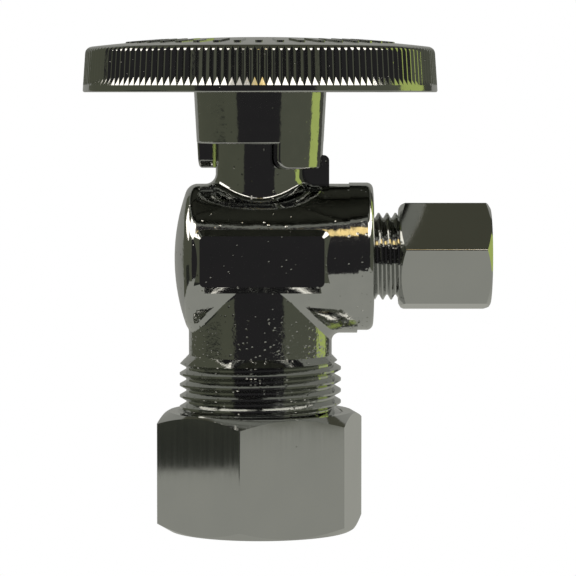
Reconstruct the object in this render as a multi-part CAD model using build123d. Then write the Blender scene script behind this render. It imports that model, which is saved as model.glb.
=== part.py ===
from build123d import *
from math import ceil, cos, floor, radians, sin, sqrt, tan
from types import SimpleNamespace
import os

# Quarter-turn angle stop valve, compression on compression.
# Millimetres. The origin is the centre of the inlet nut's lower face, where the valve stands.
# +Z runs up the inlet and the stem, +X runs out along the outlet.

# Threads and fits shared by the whole valve
thread_depth_ratio = 0.58  # thread depth as a share of the pitch
thread_clearance = 0.24  # radial, cut thread over its screw
tube_clearance = 0.06  # radial, tube in its socket and sleeve
taper_gap = 0.05  # radial, between a sleeve's taper and the cone it is pressed into
taper_angle = 18.0  # compression cones, from the tube's axis
running_gap = 0.05  # radial, turning and sliding brass
seal_gap = 0.03  # radial, a seal against the wall it wipes

# Inlet: 5/8 in tube, 13/16-18 thread
inlet = SimpleNamespace(
    tube_radius=15.875 / 2,
    pitch=25.4 / 18,
    sleeve_wall=0.95,
    sleeve_taper=2.2,
    sleeve_straight=3.5,
    mouth_land=0.33,  # end face left between the cone and the thread's root
    thread_length=12.3,
    crest_height=-11.84,  # a crest's distance from the mouth, which turns the thread to its place
    socket_depth=9.4,
    nut_height=15.0,
    nut_engagement=6.4,
    nut_wall=1.46,
    nut_turn=40.3,
)

# Outlet: 1/4 in tube, 7/16-24 thread
outlet = SimpleNamespace(
    tube_radius=6.35 / 2,
    pitch=25.4 / 24,
    sleeve_wall=0.86,
    sleeve_taper=2.0,
    sleeve_straight=1.8,
    mouth_land=0.67,
    thread_length=9.5,
    crest_height=-9.06,
    socket_depth=6.5,
    nut_height=11.55,
    nut_engagement=6.55,
    nut_wall=0.63,
    nut_turn=21.0,
)

# Compression nuts
nut_hole_clearance = 0.15  # radial, tube through the nut
nut_chamfer_angle = 30.0
nut_chamfer_land = 0.3  # the chamfer starts this far inside the flats
nut_edge = 0.22  # rounding between the flats
nut_relief = 1.4  # plain groove between the thread and the web
relief_step = 0.05  # radial, relief over the thread
entry_step = 0.1  # radial, lead-in over the thread

# Body
axis_height = 34.55  # outlet axis above the resting plane
forging_drop = 0.25  # the barrel is forged this far under the machined bore
barrel_wall = 2.4
dome_wall = 3.4  # at the tip of the domed end
dome_radius = 25.0
dome_edge_radius = 1.6
collar_wall = 1.1
collar_length = 2.0
collar_roll = 0.8  # lip rolled over the adapter's flange
boss_step = 0.35  # the boss is this much slimmer than the thread's root
boss_flare = 0.9
boss_blend = 1.0
pad_length = 15.4
pad_height = 6.3
pad_centre = 0.3
pad_rise = 0.3  # wrench pads stand this far proud of the barrel
pad_drop = 0.2  # below the outlet's axis
pad_draft = 0.8
pad_corner = 0.6
neck_radius = 5.6
neck_blend = 1.3
neck_rise = 6.7  # least height of the neck over the barrel
neck_chamfer = 0.3
lug_start = -2.0  # degrees from the outlet, anticlockwise
lug_angle = 18.0
lug_reach = 3.1
lug_overlap = 1.65  # how far the lug stands up between the skirt's lobes
lug_round = 0.7

# Ball, seats and chamber
ball_radius = 6.35
port_radius = 2.6
chamber_gap = 0.65  # radial, ball in the chamber
throat_step = 0.75  # the inlet's throat is this much slimmer than the ball
seat_bore = 2.9
seat_reach = 4.93  # outer radius of a seat's contact with the ball
seat_web = 1.05  # behind the ball at the seat's bore
seat_float = 0.7  # gap behind a seat, which its O-ring fills
seat_groove_depth = 0.6
seat_groove_land = 1.5  # bore to groove
seat_groove_rim = 1.0  # groove to the chamber's wall

# Outlet adapter
plug_length = 4.0
plug_play = 0.02  # radial, plug in the chamber
plug_seal_place = 2.1  # from the plug's inner end
plug_seal_width = 1.6
plug_seal_depth = 0.98
outlet_reach = 9.8  # collar to the outlet's mouth
flange_step = 1.2  # the flange is this much wider than the chamber
flange_length = 2.0
collar_play = 0.2  # radial, adapter in the rolled lip
outlet_bore = 2.4
plug_lead = 0.3
adapter_flare = 0.4

# Stem
stem_radius = 3.1
stem_flange_step = 1.1
stem_flange_height = 1.4
stem_flange_gap = 0.15  # flange over the chamber, and tang over the slot's floor
gland_play = 0.2  # radial, flange in its counterbore
thrust_washer_height = 0.6
guide_length = 6.65
stem_groove_width = 1.9
stem_groove_depth = 0.9
stem_seal_width = 1.5
tang_overlap = 0.1  # tang runs this far into the flange
stem_seal_places = (2.1, 4.5)  # down from the top of the neck
tang_width = 2.5
tang_gap = 0.3  # tang's ends to the seats
slot_depth = 2.2
square_size = 5.0

# Handle
handle_radius = 22.3
handle_draft = 0.37
handle_rim = 5.3
handle_dome_radius = 185.0
dome_lift = 0.25  # dome's foot over the ribs
handle_lip = 0.7
handle_foot = 0.25  # rounding of the rim's lower edge
handle_edge = 0.9
handle_lift = 0.4  # hub over the neck
handle_drop = 4.4  # disc's lower edge over the hub's face
rib_count = 152
rib_depth = 0.38  # from the point where a groove's two walls would meet
rib_land = 0.07  # that point stands this far over the rim, which leaves a land on each rib
rib_run_out = 21.0  # slope of a groove's lower end, in degrees from the stem axis
skirt_gap = 0.4
skirt_wall = 2.35
skirt_draft = 0.054  # per millimetre of height
skirt_cut = 1.6  # skirt's edge between the lobes, under the top of the neck
lobe_drop = 4.75
lobe_angle = 70.8
lobe_corner = 1.4
skirt_round = 0.3  # lower outer edge of the skirt
stop_play = 0.6  # degrees between a lobe and the lug at each end of the turn
rim_wall = 2.0
top_wall = 2.9
web_count = 6
web_thickness = 1.5
web_lift = 1.2  # webs' lower edges over the disc's
pocket_round = 0.8
mark_count = 40
mark_radius = 14.8
mark_size = (4.2, 0.9)
mark_round = 0.3
mark_height = 0.15
screw_recess = 4.0
screw_recess_depth = 2.8
screw_web = 1.0  # handle metal clamped by the screw
shoulder_gap = 0.1  # stem's end under the clamped web

# Handle screw, 6-32, and its lock washer
screw_pitch = 25.4 / 32
screw_radius = 1.74
screw_clearance = 0.12
screw_length = 8.6
screw_lead = 0.25  # chamfer at the point
screw_head_radius = 3.2
screw_head_height = 1.7
screw_head_round = 0.8
cross_length = 3.6
cross_width = 0.8
cross_depth = 1.2
screw_hole_clearance = 0.2  # radial, through the handle
washer_clearance = 0.15  # radial, washer round the screw
lock_washer_radius = 3.1
lock_washer_height = 0.7
lock_washer_split = 0.5

# What follows from the values above
for fit in (inlet, outlet):
    fit.socket = fit.tube_radius + tube_clearance
    fit.sleeve_radius = fit.socket + fit.sleeve_wall
    fit.mouth_radius = fit.sleeve_radius + 2 * taper_gap
    fit.root_radius = fit.mouth_radius + fit.mouth_land
    fit.crest_radius = fit.root_radius + thread_depth_ratio * fit.pitch
    fit.across_flats = 2 * (fit.crest_radius + thread_clearance + fit.nut_wall)
taper = tan(radians(taper_angle))
inlet_mouth = inlet.nut_height - inlet.nut_engagement
boss_radius = inlet.root_radius - boss_step

chamber_radius = ball_radius + chamber_gap
throat_radius = ball_radius - throat_step
seat_front = sqrt(ball_radius**2 - seat_reach**2)
seat_back = sqrt(ball_radius**2 - seat_bore**2) + seat_web
chamber_end = seat_back + seat_float
seat_groove_floor = seat_back - seat_groove_depth
seat_groove_inner = seat_bore + seat_groove_land
seat_groove_outer = chamber_radius - seat_groove_rim

flange_radius = chamber_radius + flange_step
adapter_front = chamber_end + plug_length
flange_end = adapter_front + flange_length
collar_end = flange_end + collar_roll
collar_radius = flange_radius + collar_wall
outlet_end = collar_end + outlet_reach

forging_axis = axis_height - forging_drop
barrel_radius = chamber_radius + barrel_wall
barrel_length = collar_end - collar_length
barrel_top = forging_axis + barrel_radius
dome_reach = chamber_end + dome_wall

stem_flange_radius = stem_radius + stem_flange_step
stem_flange_bottom = axis_height + chamber_radius + stem_flange_gap
washer_bottom = stem_flange_bottom + stem_flange_height
gland_top = washer_bottom + thrust_washer_height + running_gap
gland_radius = stem_flange_radius + gland_play
neck_top = max(gland_top + guide_length, barrel_top + neck_rise)
hub_face = neck_top + handle_lift

disc_bottom = hub_face + handle_drop
rim_top = disc_bottom + handle_rim
dome_sag = handle_dome_radius - sqrt(handle_dome_radius**2 - handle_radius**2)
handle_top = rim_top + dome_lift + dome_sag
skirt_bore = neck_radius + skirt_gap
skirt_radius = skirt_bore + skirt_wall
skirt_edge = neck_top - skirt_cut
lobe_bottom = neck_top - lobe_drop
lug_radius = neck_radius + lug_reach
washer_seat = handle_top - screw_recess_depth
head_seat = washer_seat + lock_washer_height
square_top = washer_seat - screw_web - shoulder_gap

# The outlet and the inlet seen from their mouths: local +Z is the way the tube leaves
inlet_place = Pos(0, 0, inlet_mouth) * Rot(180, 0, 0)
outlet_place = Plane(origin=(outlet_end, 0, axis_height), x_dir=(0, 0, 1), z_dir=(1, 0, 0))
bore_place = Plane(origin=(0, 0, axis_height), x_dir=(0, 0, 1), z_dir=(1, 0, 0))


def turned(*points):
    """A solid of revolution about Z from (radius, height) points."""
    outline = make_face(Plane.XZ * Polyline(*points, close=True))
    return revolve(outline, axis=Axis.Z)


def disc(radius, low, high):
    return Pos(0, 0, (low + high) / 2) * Cylinder(radius, high - low)


def ring(inner, outer, low, high):
    return disc(outer, low, high) - disc(inner, low - 1, high + 1)


def sector(radius, start, angle, low, high):
    """A wedge of a cylinder about Z, up to half a turn wide."""
    points = [(0, 0)]
    for step in range(5):
        turn = radians(start + angle * step / 4)
        points.append((2 * radius * cos(turn), 2 * radius * sin(turn)))
    wedge = extrude(make_face(Polyline(*points, close=True)), high - low)
    return disc(radius, low, high) & (Pos(0, 0, low) * wedge)


def seal_ring(inner, outer, width):
    """An O-ring squeezed in its groove, centred on the origin about Z."""
    height = outer - inner
    section = RectangleRounded(height, width, 0.45 * min(height, width))
    return revolve(Plane.XZ * (Pos(inner + height / 2, 0) * section), axis=Axis.Z)


def thread_ridge(crest_radius, pitch, crest_height, low, high):
    """One start of a right-hand 60 degree thread covering low to high, with its foot sunk a little."""
    depth = thread_depth_ratio * pitch
    sunk = 0.06
    flank = tan(radians(30))
    middle = crest_radius - depth / 2
    half_tip = pitch / 4 - depth / 2 * flank
    half_foot = pitch / 4 + (depth / 2 + sunk) * flank
    foot_radius = crest_radius - depth - sunk
    first = crest_height + floor((low - crest_height) / pitch - 0.5) * pitch
    turns = ceil((high - first) / pitch + 0.5)
    section = Polyline(
        (foot_radius, 0, first - half_foot),
        (crest_radius, 0, first - half_tip),
        (crest_radius, 0, first + half_tip),
        (foot_radius, 0, first + half_foot),
        close=True,
    )
    path = Pos(0, 0, first) * Helix(pitch, pitch * turns, middle)
    return sweep(make_face(section), path=path, is_frenet=True)


def threaded_end(fit, start_flare):
    """The male end of a fitting: mouth at the origin, thread running back along -Z."""
    top = -fit.thread_length
    low = top - start_flare
    wide = fit.crest_radius + 0.05
    slim = fit.root_radius - boss_step
    lead = wide - fit.root_radius + 0.05
    shoulder = low - boss_step
    core = turned((0, 0), (fit.root_radius, 0), (fit.root_radius, low), (slim, shoulder), (0, shoulder))
    envelope = turned((0, 0), (wide - lead, 0), (wide, -lead), (wide, top), (fit.root_radius, low), (0, low))
    ridge = thread_ridge(fit.crest_radius, fit.pitch, fit.crest_height, low, 0)
    return core + (ridge & envelope)


def socket_cut(fit, bore_radius, reach):
    """The tube socket with its sleeve cone, and the bore behind it."""
    cone_depth = (fit.mouth_radius - fit.socket) / taper
    return turned(
        (0, 1),
        (fit.mouth_radius + taper, 1),
        (fit.mouth_radius, 0),
        (fit.socket, -cone_depth),
        (fit.socket, -fit.socket_depth),
        (bore_radius, -fit.socket_depth),
        (bore_radius, -reach),
        (0, -reach),
    )


def sleeve_corner(fit):
    """Where a sleeve's straight part begins, measured from the mouth."""
    return (taper_gap + fit.sleeve_radius - fit.mouth_radius) / taper


def sleeve(fit):
    corner = sleeve_corner(fit)
    tip_radius = fit.sleeve_radius - fit.sleeve_taper * taper
    back = corner + fit.sleeve_straight
    return turned(
        (fit.socket, corner - fit.sleeve_taper),
        (tip_radius, corner - fit.sleeve_taper),
        (fit.sleeve_radius, corner),
        (fit.sleeve_radius, back),
        (tip_radius, back + fit.sleeve_taper),
        (fit.socket, back + fit.sleeve_taper),
    )


def compression_nut(fit):
    low = -fit.nut_engagement
    high = low + fit.nut_height
    flat = fit.across_flats / 2
    corner = flat / cos(radians(30)) + 0.01
    land = flat - nut_chamfer_land
    drop = (corner - land) * tan(radians(nut_chamfer_angle))
    hexagon = RegularPolygon(flat, 6, major_radius=False, rotation=fit.nut_turn)
    hexagon = fillet(hexagon.vertices(), nut_edge)
    blank = Pos(0, 0, low) * extrude(hexagon, fit.nut_height)
    blank &= turned(
        (0, low),
        (land, low),
        (corner, low + drop),
        (corner, high - drop),
        (land, high),
        (0, high),
    )
    cut_radius = fit.crest_radius + thread_clearance
    minor = cut_radius - thread_depth_ratio * fit.pitch
    web = sleeve_corner(fit) + fit.sleeve_straight
    hole = fit.tube_radius + nut_hole_clearance
    pinch = fit.sleeve_radius + taper_gap
    entry = cut_radius + entry_step
    relief = cut_radius + relief_step
    bore = turned(
        (0, low - 1),
        (entry, low - 1),
        (entry, low),
        (minor, low + entry - minor),
        (minor, web - nut_relief),
        (relief, web - nut_relief),
        (relief, web),
        (pinch, web),
        (hole, web + (pinch - hole) / taper),
        (hole, high + 1),
        (0, high + 1),
    )
    ridge = thread_ridge(cut_radius, fit.pitch, fit.crest_height, low, web - nut_relief)
    ridge &= disc(cut_radius + 1, low - 1, web - nut_relief / 2)
    return blank - disc(minor, low - 1, web) - ridge - bore


def wrench_pad(side):
    """A flat raised on the barrel's side, with drafted edges."""
    length = pad_length + 2 * pad_draft
    height = pad_height + 2 * pad_draft
    corner = pad_corner + pad_draft
    face = barrel_radius + pad_rise
    plane = Plane(origin=(pad_centre, 0, axis_height - pad_drop), x_dir=(1, 0, 0), z_dir=(0, side, 0))
    pad = extrude(plane * RectangleRounded(length, height, corner), face)
    return chamfer(pad.faces().sort_by(Axis.Y)[-1 if side > 0 else 0].edges(), pad_draft)


def forging():
    """Barrel, boss and neck as forged, before the pads and the machining."""
    barrel_plane = Plane(origin=(0, 0, forging_axis), x_dir=(0, 0, 1), z_dir=(1, 0, 0))
    barrel = barrel_plane * disc(barrel_radius, -dome_reach, barrel_length)
    barrel &= Pos(dome_radius - dome_reach, 0, forging_axis) * Sphere(dome_radius)
    barrel = fillet(barrel.edges().sort_by(Axis.X)[:1], dome_edge_radius)
    neck = disc(neck_radius, forging_axis, neck_top)
    neck = chamfer(neck.edges().sort_by(Axis.Z)[-1], neck_chamfer)
    boss_end = inlet_mouth + inlet.thread_length + boss_flare
    boss = disc(boss_radius, boss_end, forging_axis)
    solid = barrel + neck
    root = solid.edges().filter_by(lambda edge: edge.bounding_box().max.Y < neck_radius + 0.1)
    root = root.filter_by(lambda edge: edge.bounding_box().max.Z < barrel_top + 0.1)
    solid = fillet(root, neck_blend) + boss
    arch = solid.edges().filter_by(lambda edge: boss_end + 1 < edge.bounding_box().min.Z < forging_axis - 1)
    arch = arch.filter_by(lambda edge: edge.bounding_box().max.Z < forging_axis - 1)
    return fillet(arch, boss_blend)


def valve_body():
    solid = forging()
    solid += wrench_pad(1)
    solid += wrench_pad(-1)
    collar = disc(collar_radius, barrel_length - 1, collar_end)
    collar = fillet(collar.edges().sort_by(Axis.Z)[-1], collar_roll)
    solid += bore_place * collar
    lug_top = lobe_bottom + lug_overlap
    lug = sector(lug_radius, lug_start, lug_angle, forging_axis, lug_top)
    rim = lug.faces().sort_by(Axis.Z)[-1].edges().filter_by(GeomType.CIRCLE)
    solid += fillet(rim, lug_round)
    solid += inlet_place * threaded_end(inlet, boss_flare)
    solid -= inlet_place * socket_cut(inlet, throat_radius, axis_height - inlet_mouth)
    solid -= bore_place * disc(chamber_radius, -chamber_end, adapter_front + 1)
    solid -= bore_place * disc(flange_radius, adapter_front, flange_end)
    solid -= bore_place * disc(chamber_radius + collar_play, adapter_front, collar_end + 1)
    solid -= disc(gland_radius, axis_height, gland_top)
    solid -= disc(stem_radius + running_gap, axis_height, neck_top + 1)
    return solid


def outlet_adapter():
    """Threaded outlet: a plug in the chamber, and a flange that the collar is rolled over."""
    plug = chamber_radius - plug_play
    hub = chamber_radius + collar_play / 2
    flange = flange_radius - running_gap
    groove = plug - plug_seal_depth
    seal_low = chamber_end + plug_seal_place - plug_seal_width / 2
    seal_high = seal_low + plug_seal_width
    thread_end = outlet_end - outlet.thread_length
    plug_body = turned(
        (0, chamber_end),
        (plug - plug_lead, chamber_end),
        (plug, chamber_end + plug_lead),
        (plug, seal_low),
        (groove, seal_low),
        (groove, seal_high),
        (plug, seal_high),
        (plug, adapter_front),
        (flange, adapter_front),
        (flange, flange_end),
        (hub, flange_end),
        (hub, collar_end),
        (outlet.root_radius - boss_step, collar_end),
        (outlet.root_radius - boss_step, thread_end),
        (0, thread_end),
    )
    solid = bore_place * plug_body
    solid += outlet_place * threaded_end(outlet, adapter_flare)
    solid -= outlet_place * socket_cut(outlet, outlet_bore, outlet_end)
    return solid


def adapter_o_ring():
    inner = chamber_radius - plug_play - plug_seal_depth
    ring_solid = seal_ring(inner, chamber_radius, plug_seal_width - 0.2)
    return bore_place * Pos(0, 0, chamber_end + plug_seal_place) * ring_solid


def seat(side):
    """A ball seat on the outlet's side (1) or the closed side (-1), with a groove for its O-ring."""
    solid = ring(seat_bore, chamber_radius - running_gap, seat_front, seat_back)
    solid -= Sphere(ball_radius + seal_gap)
    solid -= ring(seat_groove_inner, seat_groove_outer, seat_groove_floor, seat_back + 1)
    return bore_place * (Rot(0, 90 - 90 * side, 0) * solid)


def seat_o_ring(side):
    """Presses a seat against the ball, from the seat's groove to the wall behind it."""
    inner = seat_groove_inner + running_gap
    outer = seat_groove_outer - running_gap
    middle = side * (seat_groove_floor + chamber_end) / 2
    return bore_place * Pos(0, 0, middle) * seal_ring(inner, outer, chamber_end - seat_groove_floor)


def ball():
    """Elbow-ported ball: one port stays over the inlet, the other turns to and from the outlet."""
    reach = 2 * ball_radius
    elbow = Sphere(port_radius) + disc(port_radius, -reach, 0)
    elbow += Rot(0, 90, 0) * disc(port_radius, 0, reach)
    slot = Pos(0, 0, ball_radius) * Box(tang_width + 2 * running_gap, 2 * reach, 2 * slot_depth)
    return Pos(0, 0, axis_height) * (Sphere(ball_radius) - elbow - slot)


def stem():
    """Tang, thrust flange, sealed shaft, and the square that carries the handle."""
    tang_bottom = axis_height + ball_radius - slot_depth + stem_flange_gap
    tang_length = 2 * (seat_front - tang_gap)
    tang_height = stem_flange_bottom + tang_overlap - tang_bottom
    tang = Pos(0, 0, tang_bottom + tang_height / 2) * Box(tang_width, tang_length, tang_height)
    solid = disc(stem_flange_radius, stem_flange_bottom, washer_bottom)
    solid += disc(stem_radius, washer_bottom, hub_face)
    solid += tang & disc(stem_flange_radius, tang_bottom - 1, stem_flange_bottom + 1)
    for place in stem_seal_places:
        middle = neck_top - place
        low = middle - stem_groove_width / 2
        solid -= ring(stem_radius - stem_groove_depth, stem_radius + 1, low, low + stem_groove_width)
    square = Pos(0, 0, hub_face) * extrude(Rectangle(square_size, square_size), square_top - hub_face)
    solid += square & disc(stem_radius, hub_face - 1, square_top + 1)
    tip = head_seat - screw_length - 1
    bore_radius = screw_radius + screw_clearance
    minor = bore_radius - thread_depth_ratio * screw_pitch
    tap = thread_ridge(bore_radius, screw_pitch, head_seat, tip + 0.5, square_top)
    solid -= tap & disc(bore_radius + 1, tip, square_top + 1)
    return solid - disc(minor, tip, square_top + 1)


def stem_thrust_washer():
    outer = gland_radius - running_gap
    return ring(stem_radius + running_gap, outer, washer_bottom, washer_bottom + thrust_washer_height)


def stem_o_ring(place):
    inner = stem_radius - stem_groove_depth
    outer = stem_radius + running_gap - seal_gap
    return Pos(0, 0, neck_top - place) * seal_ring(inner, outer, stem_seal_width)


def dome_height(radius):
    """Height of the handle's top surface at a distance from the stem axis."""
    return handle_top - handle_dome_radius + sqrt(handle_dome_radius**2 - radius**2)


def knurl_grooves():
    """Straight V grooves around the rim, from the plain lip up through the rounded edge."""
    low = disc_bottom + handle_lip
    high = rim_top + 0.5
    wires = []
    for height in (low, high):
        crest = handle_radius + rib_land - handle_draft * (height - disc_bottom) / handle_rim
        points = []
        for step in range(2 * rib_count):
            radius = crest - rib_depth * (step % 2)
            turn = radians(step * 180 / rib_count)
            points.append((radius * cos(turn), radius * sin(turn), height))
        wires.append(make_face(Polyline(*points, close=True)))
    core = turned(
        (0, low),
        (handle_radius, low),
        (handle_radius - 2 * rib_depth, low + 2 * rib_depth / tan(radians(rib_run_out))),
        (0, high),
    )
    return disc(handle_radius + 1, low, high) - loft(wires, ruled=True) - core


def handle():
    """Domed, ribbed disc on a solid hub, with a stop skirt around the neck."""
    rim_corner = dome_height(handle_radius - handle_draft)
    rim_radius = handle_radius - handle_draft * (rim_corner - disc_bottom) / handle_rim
    outline = Polyline(
        (0, handle_top),
        (0, disc_bottom),
        (handle_radius, disc_bottom),
        (rim_radius, rim_corner),
    )
    half_way = (rim_radius / 2, dome_height(rim_radius / 2))
    outline += ThreePointArc((rim_radius, rim_corner), half_way, (0, handle_top))
    section = make_face(outline)
    corners = section.vertices().filter_by(lambda corner: corner.X > 1).sort_by(Axis.Y)
    section = fillet(corners[0], handle_foot)
    corners = section.vertices().filter_by(lambda corner: corner.X > 1).sort_by(Axis.Y)
    section = fillet(corners[-1], handle_edge)
    plate = revolve(Plane.XZ * section, axis=Axis.Z)
    plate -= knurl_grooves()
    roof = handle_top - top_wall
    hollow = ring(skirt_radius, handle_radius - rim_wall, disc_bottom - 1, roof)
    hollow = fillet(hollow.faces().sort_by(Axis.Z)[-1].edges(), pocket_round)
    web = extrude(Pos(handle_radius / 2, 0) * Rectangle(handle_radius, web_thickness), handle_rim)
    for index in range(web_count):
        hollow -= Pos(0, 0, disc_bottom + web_lift) * Rot(0, 0, 360 / web_count * index) * web
    plate -= hollow
    drop = disc_bottom + 0.5 - lobe_bottom
    hub = turned(
        (0, lobe_bottom),
        (skirt_radius - skirt_draft * drop, lobe_bottom),
        (skirt_radius, disc_bottom + 0.5),
        (0, disc_bottom + 0.5),
    )
    hub -= disc(skirt_bore, lobe_bottom - 1, hub_face)
    for index in range(2):
        gap_start = lug_start - stop_play + 180 * index
        hub -= sector(2 * skirt_radius, gap_start, 180 - lobe_angle, lobe_bottom - 1, skirt_edge)
    corners = hub.edges().filter_by(GeomType.LINE).group_by(Axis.Z)[0]
    hub = fillet(corners, lobe_corner)
    lower = hub.edges().filter_by(lambda edge: edge.bounding_box().max.Z < skirt_edge + 0.1)
    lower = lower.filter_by(lambda edge: (edge @ 0.5).X ** 2 + (edge @ 0.5).Y ** 2 > (skirt_bore + 1) ** 2)
    hub = fillet(lower, skirt_round)
    solid = plate + hub
    solid += turn_marks()
    hole = Rectangle(square_size + 2 * running_gap, square_size + 2 * running_gap)
    square = Pos(0, 0, hub_face - 1) * extrude(hole, washer_seat - screw_web - hub_face + 1)
    solid -= square & disc(stem_radius + running_gap, hub_face - 2, washer_seat)
    solid -= disc(screw_radius + screw_hole_clearance, hub_face, washer_seat + 1)
    solid -= disc(screw_recess, washer_seat, handle_top + 1)
    return solid


def turn_marks():
    """Raised grip ticks around the top, each following the dome."""
    surface = Pos(0, 0, handle_top + mark_height - handle_dome_radius) * Sphere(handle_dome_radius)
    length, width = mark_size
    tick = Pos(mark_radius, 0, handle_top - 1.5) * extrude(RectangleRounded(length, width, mark_round), 3)
    tick &= surface
    return [Rot(0, 0, 360 / mark_count * index) * tick for index in range(mark_count)]


def handle_screw():
    """Pan head with a cross recess, over a threaded shank."""
    head = disc(screw_head_radius, head_seat, head_seat + screw_head_height)
    head = fillet(head.edges().sort_by(Axis.Z)[-1], screw_head_round)
    cross = Box(cross_length, cross_width, 2 * cross_depth)
    cross += Rot(0, 0, 90) * cross
    head -= Pos(0, 0, head_seat + screw_head_height) * cross
    tip = head_seat - screw_length
    root = screw_radius - thread_depth_ratio * screw_pitch
    shank = disc(root, tip, head_seat + 0.1)
    shank = chamfer(shank.edges().sort_by(Axis.Z)[0], screw_lead)
    ridge = thread_ridge(screw_radius, screw_pitch, head_seat, tip + 2 * screw_lead, washer_seat - 1)
    crest = screw_radius + 0.1
    envelope = turned((0, tip), (root, tip), (crest, tip + crest - root), (crest, head_seat), (0, head_seat))
    return head + shank + (ridge & envelope)


def handle_lock_washer():
    """Split spring washer under the screw head."""
    inner = screw_radius + washer_clearance
    solid = ring(inner, lock_washer_radius, washer_seat, head_seat)
    cut = Box(2 * lock_washer_radius, lock_washer_split, 4 * lock_washer_height)
    middle = (washer_seat + head_seat) / 2
    return solid - Pos(lock_washer_radius, 0, middle) * Rot(30, 0, 0) * cut


pieces = {
    "valve_body": valve_body,
    "outlet_adapter": outlet_adapter,
    "adapter_o_ring": adapter_o_ring,
    "outlet_seat": lambda: seat(1),
    "rear_seat": lambda: seat(-1),
    "outlet_seat_o_ring": lambda: seat_o_ring(1),
    "rear_seat_o_ring": lambda: seat_o_ring(-1),
    "ball": ball,
    "stem": stem,
    "stem_thrust_washer": stem_thrust_washer,
    "stem_upper_o_ring": lambda: stem_o_ring(stem_seal_places[0]),
    "stem_lower_o_ring": lambda: stem_o_ring(stem_seal_places[1]),
    "handle": handle,
    "handle_screw": handle_screw,
    "handle_lock_washer": handle_lock_washer,
    "inlet_nut": lambda: inlet_place * compression_nut(inlet),
    "inlet_sleeve": lambda: inlet_place * sleeve(inlet),
    "outlet_nut": lambda: outlet_place * compression_nut(outlet),
    "outlet_sleeve": lambda: outlet_place * sleeve(outlet),
}

os.makedirs("parts", exist_ok=True)
for name, make in pieces.items():
    export_step(make(), f"parts/{name}.step")
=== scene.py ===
import bmesh
import bpy
import math
from mathutils import Matrix, Vector

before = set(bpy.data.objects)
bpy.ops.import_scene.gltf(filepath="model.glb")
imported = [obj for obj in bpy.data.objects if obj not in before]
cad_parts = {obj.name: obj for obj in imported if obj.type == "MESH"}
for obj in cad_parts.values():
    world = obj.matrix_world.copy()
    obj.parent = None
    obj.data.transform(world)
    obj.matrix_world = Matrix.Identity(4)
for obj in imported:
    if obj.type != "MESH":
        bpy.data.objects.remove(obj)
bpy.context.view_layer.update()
mm = 0.001


def linearColour(code):
    # the sRGB curve, undone
    parts = [int(code[place:place + 2], 16) / 255 for place in (0, 2, 4)]
    return [part / 12.92 if part <= 0.04045 else ((part + 0.055) / 1.055) ** 2.4 for part in parts] + [1.0]


def addNode(tree, kind, settings=None, inputs=None):
    node = tree.nodes.new(kind)
    for name, value in (settings or {}).items():
        setattr(node, name, value)
    for name, value in (inputs or {}).items():
        if isinstance(value, bpy.types.NodeSocket):
            tree.links.new(value, node.inputs[name])
        else:
            node.inputs[name].default_value = value
    return node


def newMaterial(name):
    material = bpy.data.materials.new(name)
    material.use_nodes = True
    return material, material.node_tree


def addMesh(name, bm):
    mesh = bpy.data.meshes.new(name)
    bm.to_mesh(mesh)
    bm.free()
    thing = bpy.data.objects.new(name, mesh)
    bpy.context.scene.collection.objects.link(thing)
    return thing


def turnAbout(axis, degrees):
    return Matrix.Rotation(math.radians(degrees), 3, axis)


# Camera: level with the handle's lower edge, a little to the outlet's side, long lens
camera = {
    "place": (3.5, -390.0, 55.2),
    "pitchDown": 3.62,
    "lens": 193.4,
    "clip": (0.01, 20.0),  # metres, wide enough for the whole studio
}

cameraData = bpy.data.cameras.new("camera")
cameraData.lens = camera["lens"]
cameraData.clip_start, cameraData.clip_end = camera["clip"]
cameraObject = bpy.data.objects.new("camera", cameraData)
cameraObject.location = [value * mm for value in camera["place"]]
cameraObject.rotation_euler = (math.radians(90 - camera["pitchDown"]), 0, 0)
bpy.context.scene.collection.objects.link(cameraObject)
bpy.context.scene.camera = cameraObject
bpy.context.scene.view_settings.view_transform = "Standard"
print("camera placed")

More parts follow.
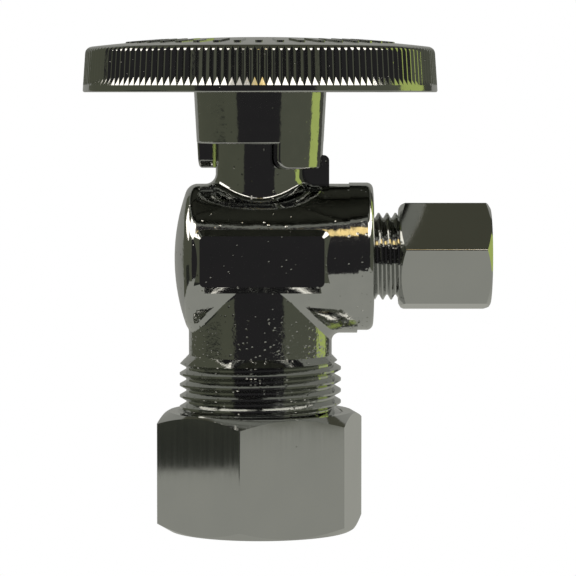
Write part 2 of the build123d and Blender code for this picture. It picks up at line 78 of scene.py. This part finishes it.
# Studio: a white room to the eye, and the things that polished chrome picks up from it.
# Azimuth runs from the camera's side (0) towards the outlet (+90), elevation from level.
studio = {
    "radius": 3.0,  # metres out to the walls
    "nearShare": 0.9,  # the near cards hang at this share of it, in front of the walls
    "riseSteps": 12,
    "turnSteps": 36,
    "dark": "2C2B2C",  # the unlit side, behind the camera
    "walls": {
        "leftWall": {"azimuth": (-146, -41), "elevation": (-60, 62), "colour": "585A4C", "glow": 1.0},
        "rightWall": {"azimuth": (37, 104), "elevation": (-60, 62), "colour": "5C5E51", "glow": 1.0},
        "greenCurtain": {"azimuth": (104, 131), "elevation": (-60, 40), "colour": "BDCD73", "glow": 1.0},
        "rightCorner": {"azimuth": (131, 148), "elevation": (-60, 62), "colour": "4A4B44", "glow": 1.0},
        "backdrop": {"azimuth": (148, 214), "elevation": (-60, 34), "colour": "94948E", "glow": 1.0},
        "backWall": {"azimuth": (104, 214), "elevation": (34, 62), "colour": "4E4E42", "glow": 1.0},
        "ceiling": {"azimuth": (-180, 180), "elevation": (62, 90), "colour": "4E4E42", "glow": 1.0},
    },
    "nearCards": {
        "lowLeftWall": {"azimuth": (-98, -66), "elevation": (-60, -5.3), "colour": "32342F", "glow": 1.0},
        "softboxEdge": {"azimuth": (-118, -76), "elevation": (20, 40), "colour": "FFF8EE", "glow": 2.5},
        "softboxLeft": {"azimuth": (-76, -22), "elevation": (31, 56), "colour": "FFF8EE", "glow": 2.6},
        "softboxGap": {"azimuth": (-22, -6), "elevation": (31, 56), "colour": "FFF8EE", "glow": 0.9},
        "lampEdge": {"azimuth": (-6, 1.2), "elevation": (38, 45.5), "colour": "F2D896", "glow": 1.2},
        "lamp": {"azimuth": (1.2, 6), "elevation": (38, 49), "colour": "FFDF96", "glow": 1.6},
        "softboxRight": {"azimuth": (6, 102), "elevation": (31, 56), "colour": "FFF8EE", "glow": 2.6},
    },
}

world = bpy.data.worlds.new("room")
bpy.context.scene.world = world
world.use_nodes = True
tree = world.node_tree
tree.nodes.clear()
rays = addNode(tree, "ShaderNodeLightPath")
bright = addNode(tree, "ShaderNodeMath", {"operation": "MAXIMUM"}, {
    0: rays.outputs["Is Camera Ray"], 1: rays.outputs["Is Diffuse Ray"]})
dark = addNode(tree, "ShaderNodeBackground", {}, {"Color": linearColour(studio["dark"])})
white = addNode(tree, "ShaderNodeBackground", {}, {"Color": linearColour("FFFFFF")})
mixed = addNode(tree, "ShaderNodeMixShader", {}, {
    0: bright.outputs[0], 1: dark.outputs[0], 2: white.outputs[0]})
addNode(tree, "ShaderNodeOutputWorld", {}, {0: mixed.outputs[0]})


def glowMaterial(name, colour, strength):
    material, tree = newMaterial(name)
    tree.nodes.clear()
    glow = addNode(tree, "ShaderNodeEmission", {}, {"Color": linearColour(colour), "Strength": strength})
    addNode(tree, "ShaderNodeOutputMaterial", {}, {0: glow.outputs[0]})
    return material


def addCard(name, card, radius):
    # an upright arc of the room's dome, spun round the valve
    bm = bmesh.new()
    centre = (0, 0, 0)
    low, high = card["elevation"]
    start, end = card["azimuth"]
    arc = bmesh.ops.create_vert(bm, co=(0, -radius, 0))
    bmesh.ops.rotate(bm, verts=arc["vert"], cent=centre, matrix=turnAbout("X", -low))
    bmesh.ops.spin(
        bm, geom=arc["vert"], cent=centre, axis=(1, 0, 0), angle=math.radians(low - high),
        steps=studio["riseSteps"])
    bmesh.ops.rotate(bm, verts=bm.verts[:], cent=centre, matrix=turnAbout("Z", start))
    bmesh.ops.spin(
        bm, geom=bm.verts[:] + bm.edges[:], cent=centre, axis=(0, 0, 1), angle=math.radians(end - start),
        steps=studio["turnSteps"])
    thing = addMesh(name, bm)
    thing.data.materials.append(glowMaterial(name + "Glow", card["colour"], card["glow"]))
    thing.visible_camera = False


for group, share in (("walls", 1.0), ("nearCards", studio["nearShare"])):
    for name, card in studio[group].items():
        addCard(name, card, studio["radius"] * share)
    print("studio built:", len(studio[group]), group)

# Floor: a sheet of pale paper whose near edge runs across in front of the valve
floor = {
    "length": 280.0,
    "edge": 71.0,  # from the stem's axis to the near edge
    "turn": -36.5,
    "sideEdge": 79.0,  # from the stem's axis to the edge on the closed end's side
    "sideTurn": -82.0,
    "colour": "A4A49C",
}

bm = bmesh.new()
bmesh.ops.create_grid(bm, x_segments=1, y_segments=1, size=floor["length"] / 2 * mm)
bmesh.ops.translate(bm, verts=bm.verts[:], vec=(0, (floor["length"] / 2 - floor["edge"]) * mm, 0))
bmesh.ops.rotate(bm, verts=bm.verts[:], cent=(0, 0, 0), matrix=turnAbout("Z", floor["turn"]))
side = turnAbout("Z", floor["sideTurn"]) @ Vector((0, -1, 0))
bmesh.ops.bisect_plane(
    bm, geom=bm.verts[:] + bm.edges[:] + bm.faces[:], plane_co=side * floor["sideEdge"] * mm,
    plane_no=side, clear_outer=True)
sheet = addMesh("floor", bm)
sheet.data.materials.append(glowMaterial("paleCard", floor["colour"], 1.0))
sheet.visible_camera = False  # the eye sees the white room through it, and the chrome sees the sheet
print("floor laid")

noiseReach = (0.3, 0.7)  # nearly all of a noise texture's values lie between these
bandFade = (0.5, 2.0)  # mm over which a raw band starts at its foot, and ends above its top


def platedMetal(name, look):
    # bright plating shows the metal under it: waves from the die, small pits, streaks from the tool
    material, tree = newMaterial(name)
    shader = tree.nodes["Principled BSDF"]
    place = addNode(tree, "ShaderNodeTexCoord").outputs["Object"]
    height = addNode(tree, "ShaderNodeSeparateXYZ", {}, {0: place}).outputs["Z"]

    # the grain is whole in the raw band, and elsewhere what polishing left of it
    low, high = look.get("rawBand", (0, 0))
    above = addNode(tree, "ShaderNodeMapRange", {}, {
        "Value": height, "From Min": low * mm, "From Max": (low + bandFade[0]) * mm})
    below = addNode(tree, "ShaderNodeMapRange", {}, {
        "Value": height, "From Min": high * mm, "From Max": (high + bandFade[1]) * mm,
        "To Min": 1.0, "To Max": 0.0})
    raw = addNode(tree, "ShaderNodeMath", {"operation": "MINIMUM"}, {
        0: above.outputs[0], 1: below.outputs[0]})
    grain = addNode(tree, "ShaderNodeMapRange", {}, {
        "Value": raw.outputs[0], "To Min": look.get("polished", 1.0)})

    wave = addNode(tree, "ShaderNodeTexNoise", {}, {
        "Vector": place, "Scale": 1 / (look["waveWidth"] * mm), "Detail": 2.0, "Roughness": 0.45})
    streakScale = [1 / (size * mm) for size in look["streakSize"]]
    stretched = addNode(tree, "ShaderNodeMapping", {}, {"Vector": place, "Scale": streakScale})
    streak = addNode(tree, "ShaderNodeTexNoise", {}, {
        "Vector": stretched.outputs[0], "Scale": 1.0, "Detail": 3.0})

    # a share of the cells has a pit in its middle
    cells = addNode(tree, "ShaderNodeTexVoronoi", {}, {
        "Vector": place, "Scale": 1 / (look["pitSpacing"] * mm)})
    chance = addNode(tree, "ShaderNodeSeparateColor", {}, {0: cells.outputs["Color"]})
    pitShare = addNode(tree, "ShaderNodeMath", {"operation": "MULTIPLY"}, {
        0: grain.outputs[0], 1: look["pitShare"]})
    noPit = addNode(tree, "ShaderNodeMath", {"operation": "GREATER_THAN"}, {
        0: chance.outputs[0], 1: pitShare.outputs[0]})
    slope = addNode(tree, "ShaderNodeMapRange", {"interpolation_type": "SMOOTHSTEP"}, {
        "Value": cells.outputs["Distance"], "From Max": look["pitRadius"] / look["pitSpacing"]})
    pit = addNode(tree, "ShaderNodeMath", {"operation": "MAXIMUM"}, {
        0: slope.outputs[0], 1: noPit.outputs[0]})

    waved = addNode(tree, "ShaderNodeBump", {}, {
        "Height": wave.outputs[0], "Distance": look["waveDepth"] * mm})
    drawn = addNode(tree, "ShaderNodeBump", {}, {
        "Height": streak.outputs[0], "Distance": look["streakDepth"] * mm,
        "Normal": waved.outputs[0], "Strength": grain.outputs[0]})
    pitted = addNode(tree, "ShaderNodeBump", {}, {
        "Height": pit.outputs[0], "Distance": look["pitDepth"] * mm, "Normal": drawn.outputs[0]})
    haze = addNode(tree, "ShaderNodeMapRange", {}, {
        "Value": streak.outputs[0], "From Min": noiseReach[0], "From Max": noiseReach[1],
        "To Min": look["roughness"][0], "To Max": look["roughness"][1]})
    tone = addNode(tree, "ShaderNodeMix", {"data_type": "RGBA"}, {
        0: wave.outputs[0], 6: linearColour(look["colours"][0]), 7: linearColour(look["colours"][1])})
    grime = addNode(tree, "ShaderNodeMix", {"data_type": "RGBA"}, {
        0: pit.outputs[0], 6: linearColour(look["pitColour"]), 7: tone.outputs[2]})
    tree.links.new(grime.outputs[2], shader.inputs["Base Color"])
    tree.links.new(haze.outputs[0], shader.inputs["Roughness"])
    tree.links.new(pitted.outputs[0], shader.inputs["Normal"])
    shader.inputs["Metallic"].default_value = 1.0
    return material


# Chromium over a forged and tumbled brass body: mirror bright, with the forging's waves and pits.
# The inlet boss was left raw, and the rest was polished down to a quarter of the grain.
forgedChrome = {
    "colours": ("C0C2C1", "CCCDCB"), "pitColour": "A2A29C", "roughness": (0.05, 0.10),
    "waveWidth": 2.2, "waveDepth": 0.022, "streakSize": (0.5, 0.5, 0.5), "streakDepth": 0.03,
    "rawBand": (21.6, 26.0), "polished": 0.25,
    "pitSpacing": 0.55, "pitShare": 0.6, "pitRadius": 0.2, "pitDepth": 0.04,
}

# Chromium over die-cast zinc: smoother than the forging, with fine pinholes
castChrome = {
    "colours": ("C0C2C1", "CCCDCB"), "pitColour": "94948E", "roughness": (0.06, 0.12),
    "waveWidth": 1.6, "waveDepth": 0.02, "streakSize": (0.5, 0.5, 0.5), "streakDepth": 0.008,
    "pitSpacing": 0.7, "pitShare": 0.4, "pitRadius": 0.11, "pitDepth": 0.02,
}

# Chromium over drawn hexagon bar: flat and clean, with faint draw lines along the bar
barChromeUpright = {
    "colours": ("C2C4C3", "CBCCCA"), "pitColour": "9A9A94", "roughness": (0.07, 0.10),
    "waveWidth": 6.0, "waveDepth": 0.012, "streakSize": (0.4, 0.4, 14.0), "streakDepth": 0.0003,
    "pitSpacing": 2.2, "pitShare": 0.3, "pitRadius": 0.12, "pitDepth": 0.02,
}
barChromeLevel = dict(barChromeUpright, streakSize=(14.0, 0.4, 0.4))

# Chromium over a turned and lapped ball: the brightest and smoothest
lappedChrome = {
    "colours": ("C4C6C6", "CCCDCD"), "pitColour": "A8A8A4", "roughness": (0.03, 0.06),
    "waveWidth": 8.0, "waveDepth": 0.004, "streakSize": (0.5, 0.5, 4.0), "streakDepth": 0.0005,
    "pitSpacing": 3.0, "pitShare": 0.15, "pitRadius": 0.08, "pitDepth": 0.01,
}

# Turned free-cutting brass: warm metal with rings left by the tool and a brown tarnish
turnedBrass = {
    "colours": ("B98F45", "D9B96A"), "pitColour": "7A5A2C", "roughness": (0.18, 0.34),
    "waveWidth": 3.5, "waveDepth": 0.004, "streakSize": (12.0, 12.0, 0.3), "streakDepth": 0.002,
    "pitSpacing": 1.6, "pitShare": 0.25, "pitRadius": 0.1, "pitDepth": 0.015,
}
turnedBrassLevel = dict(turnedBrass, streakSize=(0.3, 12.0, 12.0))

# Zinc-plated steel: cooler and duller than chromium, with a cloudy passivated film
zincPlate = {
    "colours": ("A9ACAE", "C6C3B4"), "pitColour": "77756C", "roughness": (0.22, 0.38),
    "waveWidth": 1.4, "waveDepth": 0.006, "streakSize": (0.5, 0.5, 0.5), "streakDepth": 0.003,
    "pitSpacing": 0.8, "pitShare": 0.3, "pitRadius": 0.08, "pitDepth": 0.012,
}


def softSeal(name, look):
    # moulded or skived polymer: matt skin with a fine grain and patches where it was handled
    material, tree = newMaterial(name)
    shader = tree.nodes["Principled BSDF"]
    place = addNode(tree, "ShaderNodeTexCoord").outputs["Object"]
    patch = addNode(tree, "ShaderNodeTexNoise", {}, {
        "Vector": place, "Scale": 1 / (look["patchWidth"] * mm), "Detail": 3.0})
    grain = addNode(tree, "ShaderNodeTexNoise", {}, {
        "Vector": place, "Scale": 1 / (look["grainWidth"] * mm), "Detail": 2.0})
    raised = addNode(tree, "ShaderNodeBump", {}, {
        "Height": grain.outputs[0], "Distance": look["grainDepth"] * mm})
    tone = addNode(tree, "ShaderNodeMix", {"data_type": "RGBA"}, {
        0: patch.outputs[0], 6: linearColour(look["colours"][0]), 7: linearColour(look["colours"][1])})
    haze = addNode(tree, "ShaderNodeMapRange", {}, {
        "Value": patch.outputs[0], "From Min": noiseReach[0], "From Max": noiseReach[1],
        "To Min": look["roughness"][0], "To Max": look["roughness"][1]})
    tree.links.new(tone.outputs[2], shader.inputs["Base Color"])
    tree.links.new(haze.outputs[0], shader.inputs["Roughness"])
    tree.links.new(raised.outputs[0], shader.inputs["Normal"])
    shader.inputs["IOR"].default_value = look["ior"]
    return material


# Skived PTFE: waxy white, never glossy
skivedPtfe = {
    "colours": ("E6E6E0", "F4F4F0"), "roughness": (0.30, 0.45), "ior": 1.35,
    "patchWidth": 3.0, "grainWidth": 0.25, "grainDepth": 0.004,
}

# Moulded nitrile rubber: black with a grey bloom
mouldedNitrile = {
    "colours": ("18181A", "2A2A2B"), "roughness": (0.45, 0.65), "ior": 1.52,
    "patchWidth": 2.0, "grainWidth": 0.15, "grainDepth": 0.004,
}

# The pockets under the handle stay dull where the plating is thin (real roughness), and their colour is
# darkened as painted shade under the handle
pocketShadeAndDullness = {
    "radii": (8.37, 20.25), "heights": (55.3, 59.3), "colour": "55564F", "roughness": 0.42,
}


def shadeAndDullPockets(material, look):
    tree = material.node_tree
    shader = tree.nodes["Principled BSDF"]
    place = addNode(tree, "ShaderNodeTexCoord").outputs["Object"]
    flat = addNode(tree, "ShaderNodeVectorMath", {"operation": "MULTIPLY"}, {0: place, 1: (1, 1, 0)})
    radius = addNode(tree, "ShaderNodeVectorMath", {"operation": "LENGTH"}, {0: flat.outputs[0]})
    height = addNode(tree, "ShaderNodeSeparateXYZ", {}, {0: place})
    within = [
        addNode(tree, "ShaderNodeMath", {"operation": "COMPARE"}, {
            0: value, 1: (low + high) / 2 * mm, 2: (high - low) / 2 * mm})
        for value, (low, high) in (
            (radius.outputs["Value"], look["radii"]), (height.outputs["Z"], look["heights"]))]
    # the mask of the pockets under the handle, where the colour gets painted shade
    pocketShadeMask = addNode(tree, "ShaderNodeMath", {"operation": "MULTIPLY"}, {
        0: within[0].outputs[0], 1: within[1].outputs[0]})

    # inside the pockets: painted shade darkens the colour, and the thin plating's dullness raises the
    # roughness
    # a mix node keeps its sockets for colours apart from those for numbers
    for socket, shadeAndDullness, kind, (plain, changed, result) in (
            ("Base Color", linearColour(look["colour"]), "RGBA", (6, 7, 2)),
            ("Roughness", look["roughness"], "FLOAT", (2, 3, 0))):
        before = shader.inputs[socket].links[0].from_socket
        mixed = addNode(tree, "ShaderNodeMix", {"data_type": kind}, {
            0: pocketShadeMask.outputs[0], plain: before, changed: shadeAndDullness})
        tree.links.new(mixed.outputs[result], shader.inputs[socket])


finishes = {
    "chromeOverForgedBrass": (platedMetal, forgedChrome, ["valve_body", "outlet_adapter"]),
    "chromeOverDieCastZinc": (platedMetal, castChrome, ["handle"]),
    "chromeOverHexBarUpright": (platedMetal, barChromeUpright, ["inlet_nut"]),
    "chromeOverHexBarLevel": (platedMetal, barChromeLevel, ["outlet_nut"]),
    "chromeOverLappedBall": (platedMetal, lappedChrome, ["ball"]),
    "turnedBrassUpright": (platedMetal, turnedBrass, ["stem", "inlet_sleeve"]),
    "turnedBrassLevel": (platedMetal, turnedBrassLevel, ["outlet_sleeve"]),
    "zincPlatedSteel": (platedMetal, zincPlate, ["handle_screw", "handle_lock_washer"]),
    "skivedPtfe": (softSeal, skivedPtfe, ["outlet_seat", "rear_seat", "stem_thrust_washer"]),
    "mouldedNitrile": (softSeal, mouldedNitrile, [
        "adapter_o_ring", "outlet_seat_o_ring", "rear_seat_o_ring", "stem_upper_o_ring",
        "stem_lower_o_ring"]),
}

for name, (make, look, nodes) in finishes.items():
    material = make(name, look)
    for node in nodes:
        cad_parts[node].data.materials.clear()
        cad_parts[node].data.materials.append(material)
    if "handle" in nodes:
        # the handle's pockets get painted shade in their colour and real dullness in their roughness
        shadeAndDullPockets(material, pocketShadeAndDullness)
    print("finish", name, "on", ", ".join(nodes))
